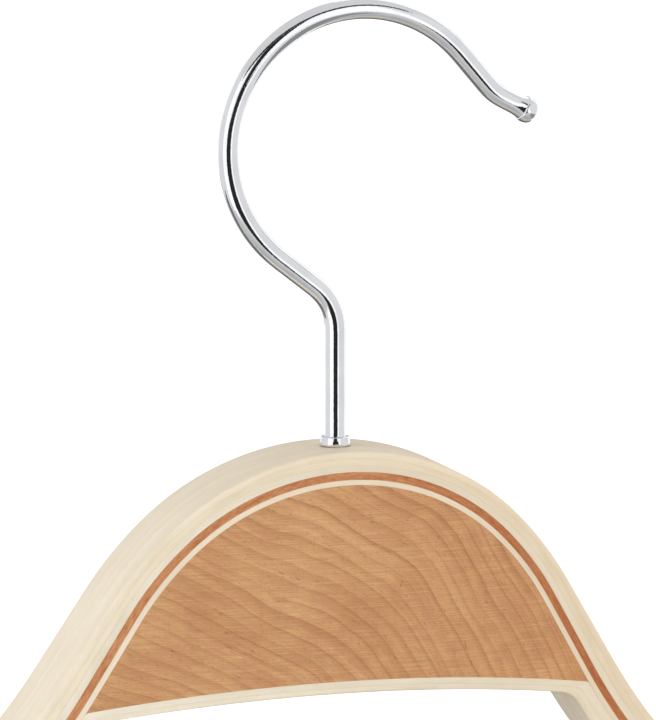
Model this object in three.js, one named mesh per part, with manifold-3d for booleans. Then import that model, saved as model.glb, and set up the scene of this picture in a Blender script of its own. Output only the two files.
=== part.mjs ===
// Clothes hanger: a bent and laminated wooden body that turns under a chromed wire hook.
//
// Units are millimetres and +Z is up. The origin is on the stem's axis at the inside top of the
// hook's loop, where the hanger sits on its rail. +X runs along the body from arm to arm, -Y is the
// front, and the arms sweep back towards +Y.
import * as THREE from "three";
import { mergeVertices } from "three/addons/utils/BufferGeometryUtils.js";
import Module from "manifold-3d";

const wasm = await Module();
wasm.setup();

const rad = THREE.MathUtils.degToRad;

// ---------------------------------------------------------------- driving dimensions

const WIRE_RADIUS = 2.1;

// The hook's centreline lies in the X-Z plane.
const LOOP_RADIUS = 27.7;
const LOOP_CENTRE_X = 5.3;
const STEM_BEND_RADIUS = 10.7;
const STEM_BEND_ANGLE = rad(52);
const TAIL_ANGLE = rad(49.5);
const TAIL_STRAIGHT = 9.2;
const TAIL_BEND_RADIUS = 9;
const TIP_ANGLE = rad(27.5);
const TIP_STRAIGHT = 5.6;
const TIP_HEAD_RADIUS = 2.7;
const TIP_HEAD_HALF_LENGTH = 2.5;
const TIP_FLARE_LENGTH = 2.6;

// Top of the wood on the stem's axis, below the rail.
const CROWN_Z = -85;
const BODY_DEPTH = 18.9;

// Thickness of each layer, from the outside of the bend to the inside.
const OUTER_PLY = 1.34;
const OUTER_PLY_COUNT = 3;
const ACCENT_PLY = 1.57;
const INNER_PLY = 1.08;
const LOWER_PLY = 1.27;
const ARM_LOWER_PLY = 2.1;
const GLUE_LINE = 0.05;

// The outer plies are pressed thinner over the neck, and swell by this share down the arms.
const OUTER_SWELL = 0.164;
const SWELL_START = 45;
const SWELL_END = 83;

// The bend follows the outside of the cherry accent ply, from the crown down one arm:
// two neck arcs, a straight flank, a long reverse arc, a straight arm and a drooping shoulder.
const NECK_RADIUS = 48.7;
const NECK_ANGLE = rad(43.5);
const FLANK_RADIUS = 66.4;
const FLANK_ANGLE = rad(59.5);
const FLANK_STRAIGHT = 17.8;
const REVERSE_RADIUS = 120;
const ARM_ANGLE = rad(28);
const ARM_STRAIGHT = 106.85;
const SHOULDER_RADIUS = 115;
const SHOULDER_ANGLE = rad(41);

// Underside of the core: a shallow arc that is turned into the arms by a bend at each end.
const CORE_HEIGHT = 39.65;
const FLOOR_RADIUS = 315;
const FLOOR_BEND_RADII = [3, 4.6, 6.4];
const CORNER_LENGTH = 2.8;

// Seen from above the body is an arc up to SWEEP_X, and each arm runs on straight from there.
const SWEEP_RADIUS = 217;
const SWEEP_X = 60;

const EDGE_ROUND = 0.8;
const END_CORNER_RADIUS = 7.5;

// The bush is pressed into the wood, and the stem turns in it.
const FLANGE_RADIUS = 3.05;
const FLANGE_HEIGHT = 2.05;
const FLANGE_SINK = 0.15;
const FLANGE_ROUND = 0.45;
const FLANGE_LIP_ROUND = 0.25;
const SLEEVE_RADIUS = 2.75;
const SLEEVE_LENGTH = 20;
const STEM_CLEARANCE = 0.1;
const WASHER_THICKNESS = 0.8;
const WASHER_RADIUS = 2.7;
const CLIP_THICKNESS = 0.7;
const CLIP_RADIUS = 2.65;
const CLIP_GAP = 2.4;
const GROOVE_RADIUS = 1.6;
const STACK_GAP = 0.1;
const STEM_END = 1.6;
const BORE_CLEARANCE = 0.1;
const BORE_RUNOUT = 1.5;

// Mesh fineness.
const FLOOR_STEPS = 13;
const CORNER_STEPS = 4;
const REVERSE_STEPS = 8;
const ARM_STEPS = 3;
const SHOULDER_STEPS = 4;
const END_STEPS = 4;
const WIRE_SIDES = 12;
const WIRE_STEP = 2.1;
const LATHE_SIDES = 32;

// ---------------------------------------------------------------- materials

const maple = new THREE.MeshStandardMaterial({ color: "#e6d9bd", roughness: 0.55, metalness: 0 });
const paleMaple = new THREE.MeshStandardMaterial({ color: "#eee4cf", roughness: 0.55, metalness: 0 });
const cherryPly = new THREE.MeshStandardMaterial({ color: "#bd7a4e", roughness: 0.5, metalness: 0 });
const cherryCore = new THREE.MeshStandardMaterial({ color: "#c49268", roughness: 0.5, metalness: 0 });
const chrome = new THREE.MeshStandardMaterial({ color: "#d8dade", roughness: 0.08, metalness: 1 });
const springSteel = new THREE.MeshStandardMaterial({ color: "#6f7276", roughness: 0.35, metalness: 1 });
const nylon = new THREE.MeshStandardMaterial({ color: "#ece9e0", roughness: 0.6, metalness: 0 });

// ---------------------------------------------------------------- small tools

function solid(geometry) {
  const bare = geometry.clone();
  bare.deleteAttribute("normal");
  bare.deleteAttribute("uv");
  const merged = mergeVertices(bare, 1e-4);
  return new wasm.Manifold(new wasm.Mesh({
    numProp: 3,
    vertProperties: new Float32Array(merged.attributes.position.array),
    triVerts: new Uint32Array(merged.index.array),
  }));
}

function geometryOf(manifold) {
  const mesh = manifold.getMesh();
  const geometry = new THREE.BufferGeometry();
  geometry.setAttribute("position", new THREE.BufferAttribute(mesh.vertProperties, 3));
  geometry.setIndex(new THREE.BufferAttribute(mesh.triVerts, 1));
  return geometry;
}

// A solid of revolution about Z, from [radius, z] pairs that start and end on the axis or close.
function turned(profile, sides = LATHE_SIDES) {
  const points = profile.map(([radius, z]) => new THREE.Vector2(radius, z));
  return new THREE.LatheGeometry(points, sides).rotateX(Math.PI / 2);
}

function ring(innerRadius, outerRadius, bottom, top) {
  return turned([
    [innerRadius, bottom], [outerRadius, bottom], [outerRadius, top], [innerRadius, top],
    [innerRadius, bottom],
  ]);
}

function part(name, geometry, material) {
  const mesh = new THREE.Mesh(geometry, material);
  mesh.name = name;
  return mesh;
}

// Evenly spaced numbers that leave out the first and end on the last.
const steps = (from, to, count) =>
  Array.from({ length: count }, (_, i) => from + ((to - from) * (i + 1)) / count);

// Points along an arc, at angles from +Z towards +X, that leave out the first.
const arcSteps = (centre, radius, from, to, count) =>
  steps(from, to, count).map(
    (angle) => new THREE.Vector2(Math.sin(angle), Math.cos(angle)).multiplyScalar(radius).add(centre),
  );

// ---------------------------------------------------------------- the bend of the body

const OUTER_BAND = OUTER_PLY * OUTER_PLY_COUNT;
const BEND_TOP_Z = CROWN_Z - OUTER_BAND;

// Each run is [length, curvature]; a positive curvature turns the arm down.
const RUNS = [
  [NECK_RADIUS * NECK_ANGLE, 1 / NECK_RADIUS],
  [FLANK_RADIUS * (FLANK_ANGLE - NECK_ANGLE), 1 / FLANK_RADIUS],
  [FLANK_STRAIGHT, 0],
  [REVERSE_RADIUS * (FLANK_ANGLE - ARM_ANGLE), -1 / REVERSE_RADIUS],
  [ARM_STRAIGHT, 0],
  [SHOULDER_RADIUS * (SHOULDER_ANGLE - ARM_ANGLE), 1 / SHOULDER_RADIUS],
];
const RUN_ENDS = RUNS.map((_, i) => RUNS.slice(0, i + 1).reduce((sum, [length]) => sum + length, 0));
const REVERSE_START = RUN_ENDS[2];
const REVERSE_END = RUN_ENDS[3];
const SHOULDER_START = RUN_ENDS[4];
const BEND_LENGTH = RUN_ENDS[5];

// The point at a distance along the bend, moved outwards by an offset. x is never negative.
function bendPoint(distance, offset) {
  let x = 0;
  let z = BEND_TOP_Z;
  let angle = 0;
  let left = distance;
  for (const [length, curvature] of RUNS) {
    const run = Math.min(left, length);
    const next = angle + run * curvature;
    if (curvature === 0) {
      x += run * Math.cos(angle);
      z -= run * Math.sin(angle);
    } else {
      x += (Math.sin(next) - Math.sin(angle)) / curvature;
      z -= (Math.cos(angle) - Math.cos(next)) / curvature;
    }
    angle = next;
    left -= run;
  }
  return new THREE.Vector2(x + offset * Math.sin(angle), z + offset * Math.cos(angle));
}

// How far the body is swept back at a distance x from the middle.
function sweep(x) {
  const inner = Math.min(Math.abs(x), SWEEP_X);
  const outer = Math.max(Math.abs(x) - SWEEP_X, 0);
  return (inner * inner) / (2 * SWEEP_RADIUS) + (outer * SWEEP_X) / SWEEP_RADIUS;
}

const reverseCentre = bendPoint(REVERSE_START, REVERSE_RADIUS);
const CORE_TOP_Z = BEND_TOP_Z - ACCENT_PLY - INNER_PLY;
const floorCentre = new THREE.Vector2(0, CORE_TOP_Z - CORE_HEIGHT - FLOOR_RADIUS);

// Where a bend of a given radius touches both the floor arc and the reverse arc of the arm.
function floorCorner(drop, armOffset, radius) {
  const fromFloor = FLOOR_RADIUS - drop - radius;
  const fromReverse = REVERSE_RADIUS - armOffset + radius;
  const span = reverseCentre.clone().sub(floorCentre);
  const apart = span.length();
  const along = (fromFloor ** 2 - fromReverse ** 2 + apart ** 2) / (2 * apart);
  const aside = Math.sqrt(fromFloor ** 2 - along ** 2);
  const unit = span.divideScalar(apart);
  const centre = floorCentre.clone().addScaledVector(unit, along);
  centre.add(new THREE.Vector2(-unit.y, unit.x).multiplyScalar(aside));
  const toReverse = reverseCentre.clone().sub(centre);
  return {
    centre,
    radius,
    floorAngle: Math.atan2(centre.x, centre.y - floorCentre.y),
    armAngle: Math.atan2(toReverse.x, toReverse.y),
  };
}

// ---------------------------------------------------------------- stations along the layers

const INNER_OFFSET = -(ACCENT_PLY + INNER_PLY);

function armDistances(start) {
  return [
    ...steps(start, REVERSE_END, REVERSE_STEPS),
    ...steps(REVERSE_END, SHOULDER_START, ARM_STEPS),
    ...steps(SHOULDER_START, BEND_LENGTH - END_CORNER_RADIUS, SHOULDER_STEPS),
    ...steps(0, Math.PI / 2, END_STEPS).map(
      (angle) => BEND_LENGTH - END_CORNER_RADIUS * (1 - Math.sin(angle)),
    ),
  ];
}

// Distance along the bend at which a corner meets the arm.
const cornerDistance = (corner) => REVERSE_START + REVERSE_RADIUS * (FLANK_ANGLE - corner.armAngle);

// Half of a curve below the core: floor arc, corner bend and arm. Level 0 is the top of the upper
// of the two lower plies, 1 is between them and 2 is the underside. The plies are thicker on the arm.
function floorCurve(level, clearance) {
  const drop = level * LOWER_PLY - clearance;
  const armOffset = INNER_OFFSET - GLUE_LINE - level * ARM_LOWER_PLY + clearance;
  const corner = floorCorner(drop, armOffset, FLOOR_BEND_RADII[level] + clearance);
  const { centre, radius, floorAngle, armAngle } = corner;
  return [
    new THREE.Vector2(0, floorCentre.y + FLOOR_RADIUS - drop),
    ...arcSteps(floorCentre, FLOOR_RADIUS - drop, 0, floorAngle, FLOOR_STEPS),
    ...arcSteps(centre, radius, floorAngle, armAngle, CORNER_STEPS),
    ...armDistances(cornerDistance(corner)).map((distance) => bendPoint(distance, armOffset)),
  ];
}

const coreCorner = floorCorner(0, INNER_OFFSET - GLUE_LINE, FLOOR_BEND_RADII[0]);
const coreEnd = cornerDistance(coreCorner);
const bendDistances = [
  0,
  ...steps(0, coreEnd - CORNER_LENGTH, FLOOR_STEPS),
  ...steps(coreEnd - CORNER_LENGTH, coreEnd, CORNER_STEPS),
  ...armDistances(coreEnd),
];

function layerCurve(offset) {
  return bendDistances.map((distance) => {
    const swell = offset > 0 ? OUTER_SWELL * THREE.MathUtils.smoothstep(distance, SWELL_START, SWELL_END) : 0;
    return bendPoint(distance, offset * (1 + swell));
  });
}

const mirrored = (half) => [
  ...half.slice(1).reverse().map((point) => new THREE.Vector2(-point.x, point.y)),
  ...half,
];

// How much narrower each face is near the rounded end of an arm, station by station.
function endInsets(count) {
  const angles = steps(0, Math.PI / 2, END_STEPS);
  const rounding = angles.map((angle) => END_CORNER_RADIUS * (1 - Math.cos(angle)));
  return [...Array(count - END_STEPS).fill(0), ...rounding];
}

// A layer lofted between an inner and an outer half curve. round is the radius of its two long
// edges on the outer curve; with a round edge, the outer curve may also be the lower one.
function layer(inner, outer, { round = 0, insets = inner.map(() => 0) } = {}) {
  const below = mirrored(inner);
  const above = mirrored(outer);
  const inset = [...insets.slice(1).reverse(), ...insets];
  const soft = round * (1 - Math.SQRT1_2);
  const edge = round ? [[0, round], [soft, soft], [round, 0]] : [[0, 0]];
  // Section points are [side, inset from that side, drop from the outer curve].
  const section = [
    [-1, 0, null],
    ...edge.map(([side, drop]) => [-1, side, drop]),
    ...edge.slice().reverse().map(([side, drop]) => [1, side, drop]),
    [1, 0, null],
  ];
  if (above[inner.length].y > below[inner.length].y) section.reverse();
  const place = (station, [side, sideInset, drop]) => {
    const from = below[station];
    const to = above[station];
    const share = drop === null ? 0 : 1 - drop / from.distanceTo(to);
    const spot = from.clone().lerp(to, share);
    const depth = side * (BODY_DEPTH / 2 - sideInset - inset[station]);
    return new THREE.Vector3(spot.x, depth + sweep(spot.x), spot.y);
  };
  const rings = below.length - 1;
  const geometry = new THREE.CylinderGeometry(1, 1, rings, section.length, rings);
  const position = geometry.attributes.position;
  for (let i = 0; i < position.count; i += 1) {
    const station = Math.round(position.getY(i) + rings / 2);
    const radius = Math.hypot(position.getX(i), position.getZ(i));
    const turn = Math.atan2(position.getX(i), position.getZ(i)) / (2 * Math.PI);
    const corner = Math.round(turn * section.length + section.length) % section.length;
    const spot = radius > 0.5
      ? place(station, section[corner])
      : section.reduce((sum, item) => sum.add(place(station, item)), new THREE.Vector3())
        .divideScalar(section.length);
    position.setXYZ(i, spot.x, spot.y, spot.z);
  }
  return geometry;
}

// ---------------------------------------------------------------- bush, washer, clip

const SEAT_Z = CROWN_Z - FLANGE_SINK;
const SLEEVE_BOTTOM = SEAT_Z - SLEEVE_LENGTH;
const WASHER_TOP = SLEEVE_BOTTOM - STACK_GAP;
const WASHER_BOTTOM = WASHER_TOP - WASHER_THICKNESS;
const CLIP_TOP = WASHER_BOTTOM - STACK_GAP;
const CLIP_BOTTOM = CLIP_TOP - CLIP_THICKNESS;
const STEM_BOTTOM = CLIP_BOTTOM - STEM_END;
const BORE_BOTTOM = STEM_BOTTOM - BORE_RUNOUT;
const BORE_RADIUS = SLEEVE_RADIUS + BORE_CLEARANCE;

function bush() {
  const inner = WIRE_RADIUS + STEM_CLEARANCE;
  const top = SEAT_Z + FLANGE_HEIGHT;
  const round = FLANGE_ROUND;
  const lip = FLANGE_LIP_ROUND;
  const corner = (centreX, centreZ, radius, from, to) =>
    [from, ...steps(from, to, 3)].map(
      (angle) => [centreX + radius * Math.cos(angle), centreZ + radius * Math.sin(angle)],
    );
  return turned([
    [inner, SLEEVE_BOTTOM],
    [SLEEVE_RADIUS, SLEEVE_BOTTOM],
    [SLEEVE_RADIUS, SEAT_Z],
    ...corner(FLANGE_RADIUS - round, SEAT_Z + round, round, -Math.PI / 2, 0),
    ...corner(FLANGE_RADIUS - lip, top - lip, lip, 0, Math.PI / 2),
    [inner, top],
    [inner, SLEEVE_BOTTOM],
  ]);
}

// Drilled hole and shallow seat for the flange.
function boreTool() {
  const seat = FLANGE_RADIUS + BORE_CLEARANCE;
  return solid(turned([
    [0, BORE_BOTTOM],
    [BORE_RADIUS, BORE_BOTTOM],
    [BORE_RADIUS, SEAT_Z - GLUE_LINE],
    [seat, SEAT_Z - GLUE_LINE],
    [seat, 0],
    [0, 0],
  ]));
}

// ---------------------------------------------------------------- hook

const INNER_LOOP = LOOP_RADIUS - WIRE_RADIUS;
const LOOP_CENTRE_Z = -Math.sqrt(INNER_LOOP ** 2 - LOOP_CENTRE_X ** 2);

// The hook's centreline, drawn with X across and Z up.
function hookOutline() {
  const touch = Math.PI + STEM_BEND_ANGLE;
  const touchX = LOOP_CENTRE_X + LOOP_RADIUS * Math.cos(touch);
  const touchZ = LOOP_CENTRE_Z + LOOP_RADIUS * Math.sin(touch);
  const cornerZ = touchZ + touchX / Math.tan(STEM_BEND_ANGLE);
  const stemTop = cornerZ - STEM_BEND_RADIUS * Math.tan(STEM_BEND_ANGLE / 2);
  const leave = Math.PI / 2 - TAIL_ANGLE;

  const outline = new THREE.Path();
  outline.moveTo(0, STEM_BOTTOM);
  outline.lineTo(0, stemTop);
  outline.absarc(-STEM_BEND_RADIUS, stemTop, STEM_BEND_RADIUS, 0, STEM_BEND_ANGLE, false);
  outline.absarc(LOOP_CENTRE_X, LOOP_CENTRE_Z, LOOP_RADIUS, touch, leave, true);
  const tail = outline.currentPoint.clone();
  tail.x += TAIL_STRAIGHT * Math.cos(TAIL_ANGLE);
  tail.y -= TAIL_STRAIGHT * Math.sin(TAIL_ANGLE);
  outline.lineTo(tail.x, tail.y);
  outline.absarc(
    tail.x + TAIL_BEND_RADIUS * Math.sin(TAIL_ANGLE),
    tail.y + TAIL_BEND_RADIUS * Math.cos(TAIL_ANGLE),
    TAIL_BEND_RADIUS,
    -Math.PI / 2 - TAIL_ANGLE,
    -Math.PI / 2 - TIP_ANGLE,
    false,
  );
  const tip = outline.currentPoint.clone();
  outline.lineTo(tip.x + TIP_STRAIGHT * Math.cos(TIP_ANGLE), tip.y - TIP_STRAIGHT * Math.sin(TIP_ANGLE));
  return outline;
}

// A flat outline stood up in the X-Z plane.
class UprightCurve extends THREE.Curve {
  constructor(outline) {
    super();
    this.outline = outline;
  }

  getPoint(t, target = new THREE.Vector3()) {
    const flat = this.outline.getPoint(t);
    return target.set(flat.x, 0, flat.y);
  }
}

// The rounded head that is formed on the wire's free end, pointing along +Z from the wire.
function tipHead() {
  const round = [-0.5, -0.25, 0, 0.25, 0.5, 0.75].map((share) => {
    const angle = (share * Math.PI) / 2;
    return [TIP_HEAD_RADIUS * Math.cos(angle), TIP_HEAD_HALF_LENGTH * Math.sin(angle)];
  });
  return turned([
    [0, -TIP_HEAD_HALF_LENGTH - TIP_FLARE_LENGTH],
    [WIRE_RADIUS * 0.98, -TIP_HEAD_HALF_LENGTH - TIP_FLARE_LENGTH],
    [WIRE_RADIUS + 0.08, -TIP_HEAD_HALF_LENGTH],
    ...round,
    [0, TIP_HEAD_HALF_LENGTH],
  ], 20);
}

function hookWire() {
  const outline = hookOutline();
  const section = steps(0, 2 * Math.PI, WIRE_SIDES).map(
    (angle) => new THREE.Vector2(WIRE_RADIUS * Math.cos(angle), WIRE_RADIUS * Math.sin(angle)),
  );
  const wire = new THREE.ExtrudeGeometry(new THREE.Shape(section), {
    steps: Math.round(outline.getLength() / WIRE_STEP),
    extrudePath: new UprightCurve(outline),
    bevelEnabled: false,
  });
  const tip = outline.currentPoint;
  const head = tipHead().rotateY(Math.PI / 2 + TIP_ANGLE).translate(tip.x, 0, tip.y);
  const groove = ring(GROOVE_RADIUS, WIRE_RADIUS + 1, CLIP_BOTTOM - STACK_GAP, CLIP_TOP + STACK_GAP / 2);
  return geometryOf(solid(wire).add(solid(head)).subtract(solid(groove)));
}

// A push-on clip: a flat ring with a gap, so that it springs into the stem's groove.
function clip() {
  const whole = ring(GROOVE_RADIUS + STACK_GAP, CLIP_RADIUS, CLIP_BOTTOM, CLIP_TOP);
  const gap = new THREE.BoxGeometry(CLIP_GAP, 2 * CLIP_RADIUS, 2 * CLIP_THICKNESS);
  gap.translate(0, CLIP_RADIUS, CLIP_BOTTOM);
  return geometryOf(solid(whole).subtract(solid(gap)));
}

// ---------------------------------------------------------------- assembly

const drill = boreTool();
const drilled = (geometry) => geometryOf(solid(geometry).subtract(drill));
const insets = endInsets(bendDistances.length);

const body = new THREE.Group();
for (let i = 0; i < OUTER_PLY_COUNT; i += 1) {
  const inner = OUTER_BAND - (i + 1) * OUTER_PLY;
  const round = i === 0 ? EDGE_ROUND : 0;
  const ply = layer(layerCurve(inner + GLUE_LINE), layerCurve(inner + OUTER_PLY), { round, insets });
  body.add(part(`outer_ply_${i + 1}`, drilled(ply), maple));
}
const accent = layer(layerCurve(GLUE_LINE - ACCENT_PLY), layerCurve(0), { insets });
body.add(part("accent_ply", drilled(accent), cherryPly));
const innerPly = layer(layerCurve(INNER_OFFSET + GLUE_LINE), layerCurve(-ACCENT_PLY), { insets });
body.add(part("inner_ply", drilled(innerPly), paleMaple));

const coreStations = 1 + FLOOR_STEPS + CORNER_STEPS / 2;
const core = layer(
  floorCurve(0, GLUE_LINE).slice(0, coreStations),
  layerCurve(INNER_OFFSET).slice(0, coreStations),
);
body.add(part("core_block", drilled(core), cherryCore));

const lowerFirst = layer(floorCurve(1, GLUE_LINE), floorCurve(0, 0), { insets });
body.add(part("lower_ply_1", lowerFirst, paleMaple));
const lowerSecond = layer(floorCurve(1, 0), floorCurve(2, 0), { round: EDGE_ROUND / 2, insets });
body.add(part("lower_ply_2", lowerSecond, paleMaple));

body.add(part("swivel_bush", bush(), chrome));
const washer = ring(WIRE_RADIUS + STEM_CLEARANCE, WASHER_RADIUS, WASHER_BOTTOM, WASHER_TOP);
body.add(part("thrust_washer", washer, nylon));

const hook = new THREE.Group();
hook.add(part("hook_wire", hookWire(), chrome));
hook.add(part("retaining_clip", clip(), springSteel));

const hanger = new THREE.Group();
hanger.add(body, hook);

export default hanger;
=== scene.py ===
import math

import bmesh
import bpy
import numpy as np
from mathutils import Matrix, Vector
from mathutils.kdtree import KDTree


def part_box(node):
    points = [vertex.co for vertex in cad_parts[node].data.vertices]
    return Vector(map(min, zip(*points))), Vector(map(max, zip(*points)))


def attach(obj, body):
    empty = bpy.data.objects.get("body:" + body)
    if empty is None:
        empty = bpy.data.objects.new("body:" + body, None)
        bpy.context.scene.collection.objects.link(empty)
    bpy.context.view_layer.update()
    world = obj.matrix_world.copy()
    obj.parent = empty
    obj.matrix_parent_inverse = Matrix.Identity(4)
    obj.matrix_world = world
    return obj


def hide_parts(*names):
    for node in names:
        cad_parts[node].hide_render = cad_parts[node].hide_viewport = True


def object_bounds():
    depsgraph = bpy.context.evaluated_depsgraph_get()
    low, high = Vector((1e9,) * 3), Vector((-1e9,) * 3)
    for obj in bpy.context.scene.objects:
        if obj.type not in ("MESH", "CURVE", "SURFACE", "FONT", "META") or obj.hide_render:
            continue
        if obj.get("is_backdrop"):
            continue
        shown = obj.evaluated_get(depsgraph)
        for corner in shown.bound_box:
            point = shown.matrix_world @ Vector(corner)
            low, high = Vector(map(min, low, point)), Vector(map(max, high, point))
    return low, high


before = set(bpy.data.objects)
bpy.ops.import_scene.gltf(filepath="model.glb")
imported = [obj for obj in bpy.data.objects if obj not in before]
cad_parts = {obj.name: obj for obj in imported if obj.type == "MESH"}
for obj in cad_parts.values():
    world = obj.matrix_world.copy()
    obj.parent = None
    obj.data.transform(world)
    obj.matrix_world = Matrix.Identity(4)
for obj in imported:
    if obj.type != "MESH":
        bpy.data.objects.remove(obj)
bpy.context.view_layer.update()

# The looks of a laminated hanger with a swivelling chrome hook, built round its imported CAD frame.
# Sizes are in millimetres until a mesh is made. +Z is up, -Y is the front, and the origin is where
# the hook sits on its rail.
MM = 0.001

# ------------------------------------------------------------------ driving dimensions

WIRE_RADIUS = 2.1
LOOP_RADIUS = 27.7
LOOP_CENTRE_X = 5.3
STEM_BEND_RADIUS = 10.7
STEM_BEND_ANGLE = math.radians(52)
TAIL_ANGLE = math.radians(49.5)
TAIL_STRAIGHT = 9.2
TAIL_BEND_RADIUS = 9.0
TIP_ANGLE = math.radians(27.5)
TIP_STRAIGHT = 5.6
STEM_CHAMFER = 0.5
HEAD_RADIUS = 2.7
HEAD_HALF_LENGTH = 2.5
HEAD_RIM_BACK = 0.15
HEAD_RIM_ROUND = 0.4
HEAD_RIM_TURN = 75
FLARE_LENGTH = 2.6
FLARE_RISE = 0.3

CROWN_Z = -85.0
BODY_DEPTH = 18.9
OUTER_PLY = 1.34
OUTER_PLY_COUNT = 3
ACCENT_PLY = 1.57
INNER_PLY = 1.08
LOWER_PLY = 1.27
ARM_LOWER_PLY = 2.1
GLUE_LINE = 0.012

# The outer plies are pressed thinner over the neck, and swell by this share down the arms.
OUTER_SWELL = 0.164
SWELL_START, SWELL_END = 45.0, 83.0

NECK_RADIUS, NECK_ANGLE = 48.7, math.radians(43.5)
FLANK_RADIUS, FLANK_ANGLE, FLANK_STRAIGHT = 66.4, math.radians(59.5), 17.8
REVERSE_RADIUS, ARM_ANGLE, ARM_STRAIGHT = 120.0, math.radians(28), 106.85
SHOULDER_RADIUS, SHOULDER_ANGLE = 115.0, math.radians(41)

CORE_HEIGHT = 39.65
FLOOR_RADIUS = 315.0
FLOOR_BEND_RADII = (1.2, 4.4, 6.4)

SWEEP_RADIUS = 217.0
SWEEP_X = 60.0
EDGE_ROUND = 0.8
LOWER_EDGE_ROUND = 0.5
END_CORNER_RADIUS = 8.1

FLANGE_RADIUS = 3.05
FLANGE_HEIGHT = 2.05
FLANGE_SINK = 0.15
FLANGE_TAPER = 0.14
FLANGE_FOOT_ROUND = 0.45
FLANGE_LIP_ROUND = 0.2
SLEEVE_RADIUS = 2.75
SLEEVE_LENGTH = 20.0
SLEEVE_CHAMFER = 0.2
STEM_CLEARANCE = 0.1
BORE_CLEARANCE = 0.1
BORE_OVERRUN = 1.5
SEAT_CLEARANCE = 0.02
SEAT_DEPTH_CLEARANCE = 0.05

# The core's growth rings bend round a point, from a gentle slope at the left to a steep one.
RING_BEND_X, RING_BEND_Z = 11.6, -114.6
RING_SLOPE_LEFT, RING_SLOPE_RIGHT = math.radians(27), math.radians(63)
RING_SPACING = 2.7
RING_BEND_SOFTNESS = 11.0
RING_WAVE_WIDE, RING_WAVE_NEAR = 10.0, 0.7

# Mesh fineness. The core's tip takes the same number of stations as the floor's corner.
UPPER_STEPS = 48
ARM_STEPS = 120
FLOOR_STEPS = 60
CORNER_STEPS = 14
CORE_TIP_START = 0.985
CORE_LEVELS = 20
END_STEPS = 10
EDGE_STEPS = 6
WIRE_SIDES = 48
WIRE_STEP = 0.5
WIRE_SMOOTHING = 4
FLARE_STEPS, RIM_STEPS, DOME_STEPS = 15, 6, 23
FLANGE_STEPS, LIP_STEPS = 7, 6
LATHE_SIDES = 96
SHARP_ANGLE = 30.0
SAME_PLACE = 1e-7

# ------------------------------------------------------------------ the bend of the body

OUTER_BAND = OUTER_PLY * OUTER_PLY_COUNT
BEND_TOP_Z = CROWN_Z - OUTER_BAND
INNER_OFFSET = -(ACCENT_PLY + INNER_PLY)
HALF_DEPTH = BODY_DEPTH / 2

# Each run is a length and a curvature; a positive curvature turns the arm down.
RUNS = (
    (NECK_RADIUS * NECK_ANGLE, 1 / NECK_RADIUS),
    (FLANK_RADIUS * (FLANK_ANGLE - NECK_ANGLE), 1 / FLANK_RADIUS),
    (FLANK_STRAIGHT, 0),
    (REVERSE_RADIUS * (FLANK_ANGLE - ARM_ANGLE), -1 / REVERSE_RADIUS),
    (ARM_STRAIGHT, 0),
    (SHOULDER_RADIUS * (SHOULDER_ANGLE - ARM_ANGLE), 1 / SHOULDER_RADIUS),
)
REVERSE_START = sum(length for length, _ in RUNS[:3])
BEND_LENGTH = sum(length for length, _ in RUNS)


def bend_point(distance, offset):
    """x and z at distances along the outside of the accent ply, moved outwards by an offset."""
    left = np.array(distance, float)
    x, angle = np.zeros_like(left), np.zeros_like(left)
    z = np.full_like(left, BEND_TOP_Z)
    for length, curvature in RUNS:
        run = np.clip(left, 0, length)
        turned = angle + run * curvature
        if curvature:
            x += (np.sin(turned) - np.sin(angle)) / curvature
            z -= (np.cos(angle) - np.cos(turned)) / curvature
        else:
            x += run * np.cos(angle)
            z -= run * np.sin(angle)
        angle = turned
        left -= run
    return np.stack([x + offset * np.sin(angle), z + offset * np.cos(angle)], -1)


def sweep(x):
    """How far the body is swept back at a distance x from the middle."""
    inner = np.minimum(np.abs(x), SWEEP_X)
    outer = np.maximum(np.abs(x) - SWEEP_X, 0)
    return inner**2 / (2 * SWEEP_RADIUS) + outer * SWEEP_X / SWEEP_RADIUS


CORE_TOP_Z = BEND_TOP_Z + INNER_OFFSET
FLOOR_CENTRE = np.array([0, CORE_TOP_Z - CORE_HEIGHT - FLOOR_RADIUS])
REVERSE_CENTRE = bend_point(REVERSE_START, REVERSE_RADIUS)


def floor_corner(drop, arm_offset, radius):
    """The bend that touches both the floor arc and the arm's reverse arc: its centre and angles."""
    from_floor = FLOOR_RADIUS - drop - radius
    from_reverse = REVERSE_RADIUS - arm_offset + radius
    span = REVERSE_CENTRE - FLOOR_CENTRE
    apart = math.hypot(*span)
    along = (from_floor**2 - from_reverse**2 + apart**2) / (2 * apart)
    aside = math.sqrt(from_floor**2 - along**2)
    unit = span / apart
    centre = FLOOR_CENTRE + unit * along + np.array([-unit[1], unit[0]]) * aside
    to_floor, to_reverse = centre - FLOOR_CENTRE, REVERSE_CENTRE - centre
    return centre, math.atan2(*to_floor), math.atan2(*to_reverse)


def arc(centre, radius, start, end, count):
    """Points on an arc, at angles from +Z towards +X, that leave out the first."""
    angle = np.linspace(start, end, count + 1)[1:]
    return centre + radius * np.stack([np.sin(angle), np.cos(angle)], -1)


# ------------------------------------------------------------------ stations along the layers

END_TURN = np.linspace(0, math.pi / 2, END_STEPS + 1)[1:]
END_START = BEND_LENGTH - END_CORNER_RADIUS


def arm_distances(start, inset):
    """Distances down one arm. Those round the end's plan corner depend on a face's inset."""
    rounded = END_START + (END_CORNER_RADIUS - inset) * np.sin(END_TURN)
    return np.concatenate([np.linspace(start, END_START, ARM_STEPS + 1)[1:], rounded])


def corner_distance(arm_angle):
    """The distance along the bend at which its reverse arc slopes at an angle."""
    return REVERSE_START + REVERSE_RADIUS * (FLANK_ANGLE - arm_angle)


def swell(distance):
    """The share by which the outer plies are thicker at distances along the bend."""
    share = np.clip((distance - SWELL_START) / (SWELL_END - SWELL_START), 0, 1)
    return OUTER_SWELL * share**2 * (3 - 2 * share)


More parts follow.
